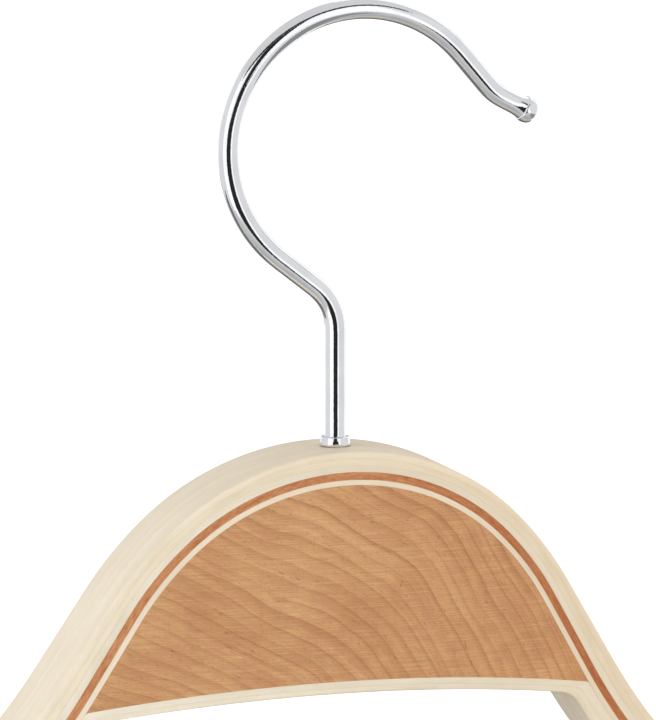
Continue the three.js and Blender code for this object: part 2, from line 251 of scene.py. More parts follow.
def bend_curve(offset):
    """A maker of half curves along the bend, for faces with a given inset."""
    upper = np.linspace(0, REVERSE_START, UPPER_STEPS + 1)

    def curve(inset):
        distance = np.concatenate([upper, arm_distances(REVERSE_START, inset)])
        return bend_point(distance, offset * (1 + swell(distance)) if offset > 0 else offset)

    return curve


def floor_curve(level, clearance):
    """A maker of half curves below the core. Level 0 is the top of the upper lower ply."""
    drop = level * LOWER_PLY - clearance
    arm_offset = INNER_OFFSET - GLUE_LINE - level * ARM_LOWER_PLY + clearance
    radius = FLOOR_BEND_RADII[level] + clearance
    centre, floor_angle, arm_angle = floor_corner(drop, arm_offset, radius)
    floor_radius = FLOOR_RADIUS - drop
    neck = [
        [[0, FLOOR_CENTRE[1] + floor_radius]],
        arc(FLOOR_CENTRE, floor_radius, 0, floor_angle, FLOOR_STEPS),
        arc(centre, radius, floor_angle, arm_angle, CORNER_STEPS),
    ]
    start = corner_distance(arm_angle)

    def curve(inset):
        arm = bend_point(arm_distances(start, inset), arm_offset)
        return np.concatenate([*neck, arm])

    return curve


def core_curves():
    """The core's underside and top as half curves that meet at its pointed tips."""
    corner_radius = FLOOR_BEND_RADII[0]
    centre, floor_angle, arm_angle = floor_corner(0, INNER_OFFSET - GLUE_LINE, corner_radius)
    below = np.concatenate([
        [[0, FLOOR_CENTRE[1] + FLOOR_RADIUS + GLUE_LINE]],
        arc(FLOOR_CENTRE, FLOOR_RADIUS + GLUE_LINE, 0, floor_angle, FLOOR_STEPS),
        arc(centre, corner_radius + GLUE_LINE, floor_angle, arm_angle, CORNER_STEPS),
    ])
    tip = corner_distance(arm_angle)
    share = np.concatenate([
        np.linspace(0, CORE_TIP_START, FLOOR_STEPS + 1),
        np.linspace(CORE_TIP_START, 1, CORNER_STEPS + 1)[1:],
    ])
    return below, bend_point(share * tip, INNER_OFFSET)


# ------------------------------------------------------------------ meshes

def make_object(name, vertices, faces, sharp=SHARP_ANGLE):
    """A smooth-shaded mesh object with sharp edges where its faces meet at more than an angle."""
    mesh = bpy.data.meshes.new(name)
    mesh.from_pydata((np.asarray(vertices) * MM).tolist(), [], faces)
    mesh.validate()
    mesh.update()
    mesh.polygons.foreach_set("use_smooth", [True] * len(mesh.polygons))
    mesh.set_sharp_from_angle(angle=math.radians(sharp))
    piece = bpy.data.objects.new(name, mesh)
    bpy.context.scene.collection.objects.link(piece)
    return piece


def set_grain(piece, values):
    """Stores where each vertex lies in the wood: along the grain, across it, and through it."""
    attributes = piece.data.attributes
    stale = attributes.get("grain")
    if stale:
        attributes.remove(stale)
    grain = attributes.new("grain", "FLOAT_VECTOR", "POINT")
    grain.data.foreach_set("vector", (np.asarray(values) * MM).ravel())


def mirrored(half):
    """A whole curve from its right half, which starts in the middle."""
    return np.concatenate([half[:0:-1] * [-1, 1], half])


def section_levels(edge_round, steps):
    """[share, drop, inset] rows from a layer's inner curve to its outer one.

    A level lies at a share of the thickness, or at a drop below the outer curve.
    """
    levels = [(i / steps, None, 0.0) for i in range(steps)]
    if not edge_round:
        return levels + [(1.0, None, 0.0)]
    for i in range(EDGE_STEPS + 1):
        angle = math.pi / 2 * i / EDGE_STEPS
        levels.append((None, edge_round * (1 - math.sin(angle)), edge_round * (1 - math.cos(angle))))
    return levels


def half_widths(count, inset, ended):
    """Half the depth at each point of a face, and less round the ends' plan corners."""
    half = np.full(count, HALF_DEPTH - inset)
    if ended:
        corner = (END_CORNER_RADIUS - inset) * np.cos(END_TURN)
        half[-END_STEPS:] = HALF_DEPTH - END_CORNER_RADIUS + corner
    return np.concatenate([half[:0:-1], half])


def distances_along(spots):
    """How far along a curve each of its points is from the middle one."""
    steps = np.linalg.norm(np.diff(spots, axis=0), axis=1)
    along = np.concatenate([[0], np.cumsum(steps)])
    return along - along[len(spots) // 2]


def loft_faces(rings, ring):
    """The faces of a solid made of rings of points, with a strip of faces across each end."""
    faces = []
    for i in range(rings - 1):
        for j in range(ring):
            a, b = i * ring + j, i * ring + (j + 1) % ring
            faces.append((a, a + ring, b + ring, b))
    for first, flip in ((0, False), ((rings - 1) * ring, True)):
        for j in range(ring // 2 - 1):
            face = (first + j, first + j + 1, first + ring - 2 - j, first + ring - 1 - j)
            faces.append(face[::-1] if flip else face)
    return faces


def layer(name, inner, outer, edge_round=0.0, steps=1, ended=True):
    """A ply lofted between two half curves, with its long outer edges and its ends rounded."""
    rows = []
    for share, drop, inset in section_levels(edge_round, steps):
        low, high = mirrored(inner(inset)), mirrored(outer(inset))
        thickness = np.linalg.norm(high - low, axis=1, keepdims=True)
        part = np.full_like(thickness, share) if drop is None else 1 - drop / thickness
        spots = low + (high - low) * part
        widths = half_widths((len(spots) + 1) // 2, inset, ended)
        rows.append((spots, widths, distances_along(spots), (part * thickness.min())[:, 0]))
    rings, ring = len(rows[0][0]), 2 * len(rows)
    vertices, grain = np.zeros((rings, ring, 3)), np.zeros((rings, ring, 3))
    for level, (spots, widths, along, rise) in enumerate(rows):
        for side, column in ((-1, level), (1, ring - 1 - level)):
            depth = side * widths
            vertices[:, column] = np.stack([spots[:, 0], depth + sweep(spots[:, 0]), spots[:, 1]], -1)
            grain[:, column] = np.stack([along, depth, rise], -1)
    piece = make_object(name, vertices.reshape(-1, 3), loft_faces(rings, ring))
    outward(piece)
    set_grain(piece, grain.reshape(-1, 3))
    return piece


def outward(piece):
    """Turns a closed mesh's faces outwards."""
    mesh = bmesh.new()
    mesh.from_mesh(piece.data)
    bmesh.ops.recalc_face_normals(mesh, faces=mesh.faces)
    mesh.to_mesh(piece.data)
    mesh.free()


def turned(name, profile, sharp=SHARP_ANGLE):
    """A solid of revolution about Z. A profile that starts on the axis ends on it too."""
    capped = profile[0][0] == 0
    rim = [point for point in profile if point[0] > 0]
    angle = np.linspace(0, 2 * math.pi, LATHE_SIDES, endpoint=False)
    vertices = [(r * c, r * s, z) for r, z in rim for c, s in zip(np.cos(angle), np.sin(angle))]
    faces = []
    for i in range(len(rim) - 1 if capped else len(rim)):
        row, following = i * LATHE_SIDES, (i + 1) % len(rim) * LATHE_SIDES
        for j in range(LATHE_SIDES):
            k = (j + 1) % LATHE_SIDES
            faces.append((row + j, row + k, following + k, following + j))
    if capped:
        for row, z in ((0, profile[0][1]), (len(rim) - 1, profile[-1][1])):
            vertices.append((0, 0, z))
            faces += fan(row, LATHE_SIDES, len(vertices) - 1)
    piece = make_object(name, vertices, faces, sharp)
    outward(piece)
    return piece


def fan(row, sides, middle):
    """Triangles from a row of points round to one point in their middle."""
    first = row * sides
    return [(first + j, first + (j + 1) % sides, middle) for j in range(sides)]


def drill(piece, tool, grain_at):
    """Cuts the swivel's bore and seat from a ply. Vertices on the cut get their grain by place."""
    whole = piece.data
    known = KDTree(len(whole.vertices))
    for vertex in whole.vertices:
        known.insert(vertex.co, vertex.index)
    known.balance()
    kept = np.array([item.vector for item in whole.attributes["grain"].data]) / MM
    cut = piece.modifiers.new("bore", "BOOLEAN")
    cut.operation = "DIFFERENCE"
    cut.solver = "EXACT"
    cut.object = tool
    view = bpy.context.evaluated_depsgraph_get()
    mesh = bpy.data.meshes.new_from_object(piece.evaluated_get(view))
    piece.modifiers.clear()
    mesh.name = piece.name
    piece.data = mesh
    values = []
    for vertex in mesh.vertices:
        _, index, apart = known.find(vertex.co)
        values.append(kept[index] if apart < SAME_PLACE else grain_at(*(vertex.co / MM)))
    set_grain(piece, values)
    mesh.set_sharp_from_angle(angle=math.radians(SHARP_ANGLE))


def neck_grain(offset):
    """The grain at a place on the neck arc, for a layer whose inner face is at an offset."""
    def grain(x, y, z):
        up = z - (BEND_TOP_Z - NECK_RADIUS)
        reach = math.hypot(x, up)
        return math.atan2(x, up) * reach, y - sweep(x), reach - NECK_RADIUS - offset

    return grain


# ------------------------------------------------------------------ wood

def bore_tool():
    """The drilled hole and the flange's shallow seat, as one cutter."""
    bore = SLEEVE_RADIUS + BORE_CLEARANCE
    seat = FLANGE_RADIUS + SEAT_CLEARANCE
    seat_z = CROWN_Z - FLANGE_SINK - SEAT_DEPTH_CLEARANCE
    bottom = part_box("hook_wire")[0].z / MM - BORE_OVERRUN
    profile = [(0, bottom), (bore, bottom), (bore, seat_z), (seat, seat_z), (seat, 0), (0, 0)]
    tool = turned("bore_tool", profile)
    tool.hide_render = True
    return tool


def bend_ply(name, inner, thickness, tool, edge_round=0.0):
    """A bent ply whose inner face lies at an offset from the bend."""
    low = inner + GLUE_LINE
    piece = layer(name, bend_curve(low), bend_curve(inner + thickness), edge_round)
    drill(piece, tool, neck_grain(low))
    return piece


def core_piece(tool):
    """The solid core: a fine grid between its underside and the inner ply."""
    below, above = core_curves()
    piece = layer("core", lambda _: below, lambda _: above, steps=CORE_LEVELS, ended=False)
    spots = np.array([vertex.co for vertex in piece.data.vertices]) / MM
    spots[:, 1] -= sweep(spots[:, 0])
    set_grain(piece, spots)
    drill(piece, tool, lambda x, y, z: (x, y - sweep(x), z))
    return piece


# ------------------------------------------------------------------ hook and bush

def smooth_path(points, reach):
    """Softens the changes of curvature along a path, whose straight ends stay as they are."""
    weights = np.hanning(2 * reach + 3)[1:-1]
    weights /= weights.sum()
    before = 2 * points[0] - points[reach:0:-1]
    after = 2 * points[-1] - points[-2:-2 - reach:-1]
    padded = np.concatenate([before, points, after])
    return np.stack([np.convolve(padded[:, i], weights, "valid") for i in range(2)], -1)


def hook_runs(bottom):
    """The wire's runs from the stem's bottom, as a length and a curvature, positive to the left."""
    inner_loop = LOOP_RADIUS - WIRE_RADIUS
    loop_centre = np.array([LOOP_CENTRE_X, -math.sqrt(inner_loop**2 - LOOP_CENTRE_X**2)])
    outwards = np.array([math.cos(STEM_BEND_ANGLE), math.sin(STEM_BEND_ANGLE)])
    touch = loop_centre - LOOP_RADIUS * outwards
    corner_z = touch[1] + touch[0] / math.tan(STEM_BEND_ANGLE)
    stem_top = corner_z - STEM_BEND_RADIUS * math.tan(STEM_BEND_ANGLE / 2)
    flank = math.hypot(*(touch - np.array([0, corner_z]))) - (corner_z - stem_top)
    loop_turn = math.radians(180) + STEM_BEND_ANGLE - (math.pi / 2 - TAIL_ANGLE)
    return (
        (stem_top - bottom, 0),
        (STEM_BEND_RADIUS * STEM_BEND_ANGLE, 1 / STEM_BEND_RADIUS),
        (flank, 0),
        (LOOP_RADIUS * loop_turn, -1 / LOOP_RADIUS),
        (TAIL_STRAIGHT, 0),
        (TAIL_BEND_RADIUS * (TAIL_ANGLE - TIP_ANGLE), 1 / TAIL_BEND_RADIUS),
        (TIP_STRAIGHT, 0),
    )


def hook_centreline():
    """The wire's centreline in x and z, which starts upwards: stem, bend, loop, tail and tip."""
    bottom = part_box("hook_wire")[0].z / MM
    points, spot, heading = [np.array([0, bottom])], np.array([0, bottom]), math.pi / 2
    for length, curvature in hook_runs(bottom):
        count = max(2, round(length / WIRE_STEP))
        step = length / count
        turn = step * curvature
        chord = 2 * math.sin(turn / 2) / curvature if curvature else step
        for _ in range(count):
            heading += turn / 2
            spot = spot + chord * np.array([math.cos(heading), math.sin(heading)])
            heading += turn / 2
            points.append(spot)
    return smooth_path(np.array(points), WIRE_SMOOTHING)


def head_profile():
    """[distance past the wire's end, radius] rows of the flare and the blunt domed head."""
    start, rim = -HEAD_HALF_LENGTH - FLARE_LENGTH, -HEAD_RIM_BACK
    rows = []
    for share in np.linspace(0, 1, FLARE_STEPS + 1)[1:]:
        along = start + (rim - HEAD_RIM_ROUND - start) * share
        rows.append((along, WIRE_RADIUS + FLARE_RISE * share**5))
    for turn in np.radians(np.linspace(-HEAD_RIM_TURN, 0, RIM_STEPS + 1)):
        fall = HEAD_RIM_ROUND * (1 - math.cos(turn))
        rows.append((rim + HEAD_RIM_ROUND * math.sin(turn), HEAD_RADIUS - fall))
    dome = HEAD_HALF_LENGTH - rim
    for turn in np.radians(np.linspace(0, 90, DOME_STEPS + 1)[1:-1]):
        along, across = math.sin(turn) ** (2 / 3), math.cos(turn) ** (2 / 3)
        rows.append((rim + dome * along, HEAD_RADIUS * across))
    return rows


def hook_rows():
    """[place, heading, radius] rows along the hook, and the places of its two ends."""
    line = hook_centreline()
    headings = np.gradient(line, axis=0)
    headings /= np.linalg.norm(headings, axis=1, keepdims=True)
    length = np.concatenate([[0], np.cumsum(np.linalg.norm(np.diff(line, axis=0), axis=1))])
    wire = length < length[-1] - HEAD_HALF_LENGTH - FLARE_LENGTH - WIRE_STEP / 2
    rows = [(spot, heading, WIRE_RADIUS) for spot, heading in zip(line[wire], headings[wire])]
    bottom, up, _ = rows[0]
    rows[0] = (bottom, up, WIRE_RADIUS - STEM_CHAMFER)
    rows.insert(1, (bottom + [0, STEM_CHAMFER], up, WIRE_RADIUS))
    end, last = line[-1], headings[-1]
    rows += [(end + last * along, last, radius) for along, radius in head_profile()]
    return rows, (bottom, end + last * HEAD_HALF_LENGTH)


def hook_piece():
    """The wire with its domed head, as one smooth tube."""
    rows, ends = hook_rows()
    turn = np.linspace(0, 2 * math.pi, WIRE_SIDES, endpoint=False)
    vertices, faces = [], []
    for spot, heading, radius in rows:
        side = np.array([-heading[1], heading[0]])
        for angle in turn:
            x, z = spot + side * radius * math.cos(angle)
            vertices.append((x, -radius * math.sin(angle), z))
    for row in range(0, (len(rows) - 1) * WIRE_SIDES, WIRE_SIDES):
        for j in range(WIRE_SIDES):
            a, b = row + j, row + (j + 1) % WIRE_SIDES
            faces.append((a, b, b + WIRE_SIDES, a + WIRE_SIDES))
    for row, (x, z) in zip((0, len(rows) - 1), ends):
        vertices.append((x, 0, z))
        faces += fan(row, WIRE_SIDES, len(vertices) - 1)
    piece = make_object("chrome_hook", vertices, faces, sharp=50)
    outward(piece)
    return piece


def profile_arc(radius, z, size, start, end, steps):
    """An arc of a size in a lathe profile, round a centre, between angles in degrees."""
    turns = np.radians(np.linspace(start, end, steps + 1))
    return [(radius + size * math.cos(turn), z + size * math.sin(turn)) for turn in turns]


def bush_piece():
    """The turned bush: a tapered flange with soft rims, and a sleeve down the bore."""
    seat = CROWN_Z - FLANGE_SINK
    top, bottom = seat + FLANGE_HEIGHT, seat - SLEEVE_LENGTH
    inner = WIRE_RADIUS + STEM_CLEARANCE
    edge, foot, lip = SLEEVE_CHAMFER, FLANGE_FOOT_ROUND, FLANGE_LIP_ROUND
    profile = [(inner, bottom + edge), (inner + edge, bottom), (SLEEVE_RADIUS - edge, bottom)]
    profile += [(SLEEVE_RADIUS, bottom + edge), (SLEEVE_RADIUS, seat)]
    profile += profile_arc(FLANGE_RADIUS - foot, seat + foot, foot, -90, 0, FLANGE_STEPS)
    for share in np.linspace(0, 1, FLANGE_STEPS + 1)[1:-1]:
        rise = (FLANGE_HEIGHT - foot - lip) * share
        profile.append((FLANGE_RADIUS - FLANGE_TAPER * share**2, seat + foot + rise))
    profile += profile_arc(FLANGE_RADIUS - FLANGE_TAPER - lip, top - lip, lip, 0, 90, LIP_STEPS)
    # The mouth round the stem turns down in three short steps.
    profile += [(inner + 0.18, top - 0.03), (inner + 0.05, top - 0.08), (inner, top - edge)]
    return turned("chrome_bush_turned", profile, sharp=40)


# ------------------------------------------------------------------ node trees

class Tree:
    """A material's node tree, with short calls to add and link its nodes."""

    def __init__(self, name):
        self.material = bpy.data.materials.new(name)
        self.material.use_nodes = True
        self.nodes = self.material.node_tree.nodes
        self.links = self.material.node_tree.links
        self.shader = self.nodes["Principled BSDF"]

    def put(self, socket, value):
        """Links a socket to another one, or sets its value."""
        if isinstance(value, bpy.types.NodeSocket):
            self.links.new(value, socket)
        elif value is not None:
            socket.default_value = value

    def node(self, kind, inputs=(), **settings):
        """A new node with its settings and inputs."""
        node = self.nodes.new(kind)
        for key, value in settings.items():
            setattr(node, key, value)
        for key, value in dict(inputs).items():
            self.put(node.inputs[key], value)
        return node

    def math(self, operation, *values):
        return self.node("ShaderNodeMath", enumerate(values), operation=operation).outputs[0]

    def parts(self, vector):
        """A vector's three numbers."""
        return tuple(self.node("ShaderNodeSeparateXYZ", {0: vector}).outputs)

    def grain(self):
        """The wood's own coordinates, as three numbers in metres."""
        source = self.node("ShaderNodeAttribute", attribute_name="grain")
        return self.parts(source.outputs["Vector"])

    def position(self):
        """The place on the object, as a vector in metres."""
        return self.node("ShaderNodeTexCoord").outputs["Object"]

    def vector(self, *values):
        return self.node("ShaderNodeCombineXYZ", enumerate(values)).outputs[0]

    def times(self, *pairs):
        """Values, each times its own scale."""
        return [self.math("MULTIPLY", value, scale) for value, scale in pairs]

    def scaled(self, *pairs):
        """A vector of three values, each times its own scale."""
        return self.vector(*self.times(*pairs))

    def noise(self, where, scale=1.0, detail=2.0, roughness=0.5, distortion=0.0):
        inputs = {"Vector": where, "Scale": scale, "Detail": detail, "Roughness": roughness}
        inputs["Distortion"] = distortion
        return self.node("ShaderNodeTexNoise", inputs).outputs[0]

    def ramp(self, value, stops):
        """A colour that follows a value through stops of a place and a display colour."""
        node = self.node("ShaderNodeValToRGB", {0: value})
        points = node.color_ramp.elements
        while len(points) < len(stops):
            points.new(0.5)
        for point, (place, colour) in zip(points, stops):
            point.position = place
            point.color = (*srgb(colour), 1)
        return node.outputs[0]

    def remap(self, value, low, high, to_low=0.0, to_high=1.0, smooth=False):
        """A value's range mapped onto another one, and clamped to it."""
        kind = "SMOOTHSTEP" if smooth else "LINEAR"
        inputs = {0: value, 1: low, 2: high, 3: to_low, 4: to_high}
        return self.node("ShaderNodeMapRange", inputs, interpolation_type=kind).outputs[0]

    def mix(self, share, a, b):
        """Colour a with a share of colour b. A plain colour is a display colour."""
        node = self.node("ShaderNodeMix", data_type="RGBA")
        self.put(node.inputs[0], share)
        for socket, value in ((node.inputs[6], a), (node.inputs[7], b)):
            self.put(socket, value if isinstance(value, bpy.types.NodeSocket) else (*srgb(value), 1))
        return node.outputs[2]

    def bump(self, height, distance, strength):
        """Bumps the surface by a height, over a distance in millimetres."""
        inputs = {"Height": height, "Distance": distance * MM, "Strength": strength}
        self.put(self.shader.inputs["Normal"], self.node("ShaderNodeBump", inputs).outputs[0])

    def finish(self, colour, roughness):
        """The material, with its colour and its roughness."""
        self.put(self.shader.inputs["Base Color"], colour)
        self.put(self.shader.inputs["Roughness"], roughness)
        return self.material


def srgb(colour):
    """A display colour out of 255 as the linear values that a shader takes."""
    values = [channel / 255 for channel in colour]
    return tuple(c / 12.92 if c <= 0.04045 else ((c + 0.055) / 1.055) ** 2.4 for c in values)


# ------------------------------------------------------------------ materials

def lacquer(tree):
    """A thin satin lacquer over wood."""
    tree.shader.inputs["IOR"].default_value = 1.45
    tree.shader.inputs["Specular IOR Level"].default_value = 0.35


def maple(name, dark, light, thickness, seed):
    """Pale ply: soft mottling, faint long fibres, sparse flecks and a faint glue line at each face.

    It yellows slowly from the left of the neck to the right.
    """
    tree = Tree(name)
    lacquer(tree)
    along, across, rise = tree.grain()
    far = tree.math("ADD", along, seed)
    fibre = tree.noise(tree.scaled((far, 160), (across, 1700), (rise, 1700)), 1, 3, 0.6)
    streak = tree.noise(tree.scaled((far, 26), (across, 420), (rise, 900)), 1, 2, 0.5)
    cloud = tree.noise(tree.scaled((far, 110), (across, 240), (rise, 240)), 1, 3, 0.6)
    tone = tree.math("MULTIPLY", fibre, 0.22)
    tone = tree.math("MULTIPLY_ADD", streak, 0.4, tone)
    tone = tree.math("MULTIPLY_ADD", cloud, 0.38, tone)
    colour = tree.ramp(tone, [(0.36, dark), (0.62, light)])
    fleck = tree.noise(tree.scaled((far, 900), (across, 3400), (rise, 3400)), 1, 2, 0.5)
    colour = tree.mix(tree.remap(fleck, 0.58, 0.8, 0, 0.22), colour, (196, 170, 134))
    tint = tree.noise(tree.scaled((far, 520), (across, 760), (rise, 760)), 1, 2, 0.5)
    colour = tree.mix(tree.remap(tint, 0.3, 0.7, 0, 0.1), colour, (238, 214, 196))
    half = thickness / 2
    off_middle = tree.math("ABSOLUTE", tree.math("SUBTRACT", rise, half * MM))
    glue = tree.remap(off_middle, (half - 0.14) * MM, (half - 0.01) * MM, 0, 0.1, True)
    colour = tree.mix(glue, colour, (196, 172, 132))
    colour = tree.mix(tree.remap(along, -70 * MM, 60 * MM, 0, 0.2), colour, (190, 164, 124))
    tree.bump(fibre, 0.04, 0.3)
    return tree.finish(colour, tree.remap(cloud, 0.3, 0.7, 0.42, 0.55))


def cherry_accent(name):
    """Thin cherry ply with short dark pores along it, and browner towards the right."""
    tree = Tree(name)
    lacquer(tree)
    along, across, rise = tree.grain()
    fibre = tree.noise(tree.scaled((along, 700), (across, 3200), (rise, 3200)), 1, 3, 0.65)
    cloud = tree.noise(tree.scaled((along, 90), (across, 500), (rise, 700)), 1, 3, 0.6)
    tone = tree.math("ADD", tree.math("MULTIPLY", fibre, 0.5), tree.math("MULTIPLY", cloud, 0.5))
    colour = tree.ramp(tone, [
        (0.36, (166, 100, 56)), (0.45, (190, 125, 80)),
        (0.54, (201, 140, 95)), (0.64, (217, 158, 111)),
    ])
    pore = tree.noise(tree.scaled((along, 1500), (across, 5200), (rise, 5200)), 1, 1, 0.5)
    colour = tree.mix(tree.remap(pore, 0.58, 0.76, 0, 0.4), colour, (142, 84, 52))
    colour = tree.mix(tree.remap(along, -20 * MM, 60 * MM, 0, 0.5), colour, (158, 76, 10))
    tree.bump(fibre, 0.04, 0.4)
    return tree.finish(colour, 0.48)


def ring_front(tree, x, depth, z):
    """The distance across the growth rings: two slopes with a soft bend, and slow waves on them."""
    wide = tree.noise(tree.scaled((x, 26), (depth, 26), (z, 26)), 1, 2, 0.5)
    near = tree.noise(tree.scaled((x, 150), (depth, 150), (z, 150)), 1, 2, 0.5)
    near = tree.math("MULTIPLY", near, RING_WAVE_NEAR * MM)
    waves = tree.math("MULTIPLY_ADD", wide, RING_WAVE_WIDE * MM, near)
    x0, z0 = tree.math("SUBTRACT", x, RING_BEND_X * MM), tree.math("SUBTRACT", z, RING_BEND_Z * MM)

    def slope(angle):
        across = tree.math("MULTIPLY", x0, math.sin(angle))
        return tree.math("MULTIPLY_ADD", z0, math.cos(angle), across)

    left, right = slope(RING_SLOPE_LEFT), slope(RING_SLOPE_RIGHT)
    front = tree.math("SMOOTH_MAX", left, right, RING_BEND_SOFTNESS * MM)
    return tree.math("ADD", tree.math("ADD", front, waves), tree.math("MULTIPLY", depth, 0.35))


def ring_lines(tree, front, x, z):
    """From 0 up to 1 at the dark late edge of each ring, strong in some places, faint in others."""
    uneven = tree.noise(tree.vector(tree.math("MULTIPLY", front, 190), 7.5, 0.5), 1, 1, 0.5)
    uneven = tree.math("MULTIPLY", uneven, 1.8)
    count = tree.math("MULTIPLY_ADD", front, 1 / (RING_SPACING * MM), uneven)
    phase = tree.math("FRACT", count)
    climb, drop = tree.remap(phase, 0.1, 0.94), tree.remap(phase, 0.93, 1.0, 1, 0, True)
    line = tree.math("POWER", tree.math("MULTIPLY", climb, drop), 2.8)
    strong = tree.noise(tree.scaled((count, 0.9), (x, 22), (z, 22)), 1, 1, 0.5)
    return tree.math("MULTIPLY", line, tree.remap(strong, 0.32, 0.62, 0.45, 1.0))


def cherry_core(name):
    """Solid cherry: bent growth rings, fine saw lines, short flecks and slow changes of tone."""
    tree = Tree(name)
    lacquer(tree)
    x, depth, z = tree.grain()
    front = ring_front(tree, x, depth, z)
    cloud = tree.noise(tree.scaled((x, 70), (depth, 70), (z, 80)), 1, 4, 0.6)
    fine = tree.noise(tree.vector(*tree.times((front, 900), (x, 60)), 3.5), 1, 2, 0.5)
    tone = tree.math("MULTIPLY_ADD", cloud, 0.6, tree.math("MULTIPLY", fine, 0.4))
    colour = tree.ramp(tone, [
        (0.34, (192, 138, 94)), (0.47, (204, 152, 106)),
        (0.56, (210, 160, 113)), (0.66, (218, 170, 122)),
    ])
    hue = tree.noise(tree.scaled((x, 210), (depth, 210), (z, 260)), 1, 2, 0.5)
    colour = tree.mix(tree.remap(hue, 0.52, 0.7, 0, 0.4), colour, (200, 138, 106))
    colour = tree.mix(tree.remap(hue, 0.48, 0.3, 0, 0.4), colour, (212, 166, 108))
    lines = ring_lines(tree, front, x, z)
    colour = tree.mix(tree.math("MULTIPLY", lines, 0.62), colour, (160, 102, 62))
    saw = tree.noise(tree.scaled((x, 110), (depth, 110), (z, 5600)), 1, 1, 0.5)
    colour = tree.mix(tree.remap(saw, 0.36, 0.56, 0.24, 0), colour, (164, 110, 70))
    colour = tree.mix(tree.remap(saw, 0.52, 0.7, 0, 0.2), colour, (232, 190, 146))
    grit = tree.noise(tree.scaled((x, 1500), (depth, 1500), (z, 4200)), 1, 2, 0.6)
    colour = tree.mix(tree.remap(grit, 0.5, 0.75, 0, 0.34), colour, (152, 100, 62))
    aside = tree.math("SUBTRACT", x, z)
    fleck = tree.noise(tree.vector(*tree.times((front, 3000), (aside, 420)), 1.5), 1, 1, 0.4)
    colour = tree.mix(tree.remap(fleck, 0.68, 0.8, 0, 0.5), colour, (132, 80, 48))
    colour = tree.mix(tree.remap(x, 42 * MM, 62 * MM, 0, 0.3), colour, (192, 118, 54))
    tree.bump(saw, 0.05, 0.4)
    return tree.finish(colour, tree.remap(cloud, 0.3, 0.7, 0.52, 0.42))


def chrome(name):
    """Bright plating with a slight drawn ripple and faint haze."""
    tree = Tree(name)
    tree.shader.inputs["Metallic"].default_value = 1.0
    where = tree.position()
    haze = tree.noise(where, 160, 2, 0.5)
    colour = tree.ramp(haze, [(0.3, (236, 238, 242)), (0.7, (246, 247, 249))])
    tree.bump(tree.noise(where, 2300, 2, 0.6), 0.02, 0.5)
    return tree.finish(colour, tree.remap(haze, 0.3, 0.7, 0.03, 0.07))


def nylon(name):
    """Natural nylon with a fine moulded surface."""
    tree = Tree(name)
    skin = tree.noise(tree.position(), 2200, 2, 0.5)
    colour = tree.ramp(skin, [(0.3, (226, 223, 212)), (0.7, (238, 236, 228))])
    tree.bump(skin, 0.03, 0.3)
    return tree.finish(colour, tree.remap(skin, 0.3, 0.7, 0.5, 0.62))


def spring_steel(name):
    """Blued spring steel with fine rolling lines and an oily sheen."""
    tree = Tree(name)
    tree.shader.inputs["Metallic"].default_value = 1.0
    x, y, z = tree.parts(tree.position())
    lines = tree.noise(tree.scaled((x, 300), (y, 5000), (z, 5000)), 1, 2, 0.6)
    colour = tree.ramp(lines, [(0.3, (92, 96, 104)), (0.7, (126, 130, 136))])
    tree.bump(lines, 0.02, 0.3)
    return tree.finish(colour, tree.remap(lines, 0.3, 0.7, 0.28, 0.42))


# ------------------------------------------------------------------ assembly

def place(piece, material, body, slot, *nodes):
    """Gives a piece its material and its body, and hides the CAD nodes that it stands for. The slot is
    not used.
    """
    piece.data.materials.clear()
    piece.data.materials.append(material)
    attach(piece, body)
    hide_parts(*nodes)


def outer_plies(tool):
    """The three pale plies over the neck and down the arms, from the outside in."""
    tones = (
        ((229, 214, 190), (242, 229, 208)),
        ((226, 211, 181), (241, 229, 207)),
        ((226, 215, 193), (240, 231, 214)),
    )
    for i, (dark, light) in enumerate(tones):
        inner = OUTER_BAND - (i + 1) * OUTER_PLY
        piece = bend_ply(f"outer_band_{i + 1}", inner, OUTER_PLY, tool, 0 if i else EDGE_ROUND)
        material = maple(f"maple_outer_{i + 1}", dark, light, OUTER_PLY, 3.1 * i)
        place(piece, material, "hanger_body", "maple_outer", f"outer_ply_{i + 1}")


def inner_strips(tool):
    """The cherry accent and the thin pale ply inside it."""
    accent = bend_ply("accent_strip", -ACCENT_PLY, ACCENT_PLY, tool)
    place(accent, cherry_accent("cherry_accent"), "hanger_body", "cherry_accent", "accent_ply")
    inner = bend_ply("inner_strip", INNER_OFFSET, INNER_PLY, tool)
    material = maple("maple_inner", (226, 210, 187), (242, 229, 206), INNER_PLY, 12.7)
    place(inner, material, "hanger_body", "maple_inner", "inner_ply")


def lower_plies():
    """The two pale plies under the core and the arms."""
    upper = layer("lower_strip_1", floor_curve(1, GLUE_LINE), floor_curve(0, 0))
    material = maple("maple_lower_1", (228, 218, 197), (242, 234, 217), LOWER_PLY, 21.3)
    place(upper, material, "hanger_body", "maple_lower", "lower_ply_1")
    under = layer("lower_strip_2", floor_curve(1, 0), floor_curve(2, 0), LOWER_EDGE_ROUND)
    material = maple("maple_lower_2", (228, 217, 194), (242, 233, 214), LOWER_PLY, 27.9)
    place(under, material, "hanger_body", "maple_lower", "lower_ply_2")


def build_wood():
    """Every layer of the bonded body."""
    tool = bore_tool()
    outer_plies(tool)
    inner_strips(tool)
    place(core_piece(tool), cherry_core("cherry_core"), "hanger_body", "cherry_core", "core_block")
    lower_plies()
    bpy.data.objects.remove(tool)


def build_metal():
    """The chromed hook and bush, and looks for the washer and the clip."""
    plating = chrome("chrome_plating")
    place(hook_piece(), plating, "hook", "chrome_wire", "hook_wire")
    place(bush_piece(), plating, "hanger_body", "chrome_bush", "swivel_bush")
    for node, material in (("thrust_washer", nylon("nylon")), ("retaining_clip", spring_steel("steel"))):
        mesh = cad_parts[node].data
        mesh.materials.clear()
        mesh.materials.append(material)


# ------------------------------------------------------------------ studio

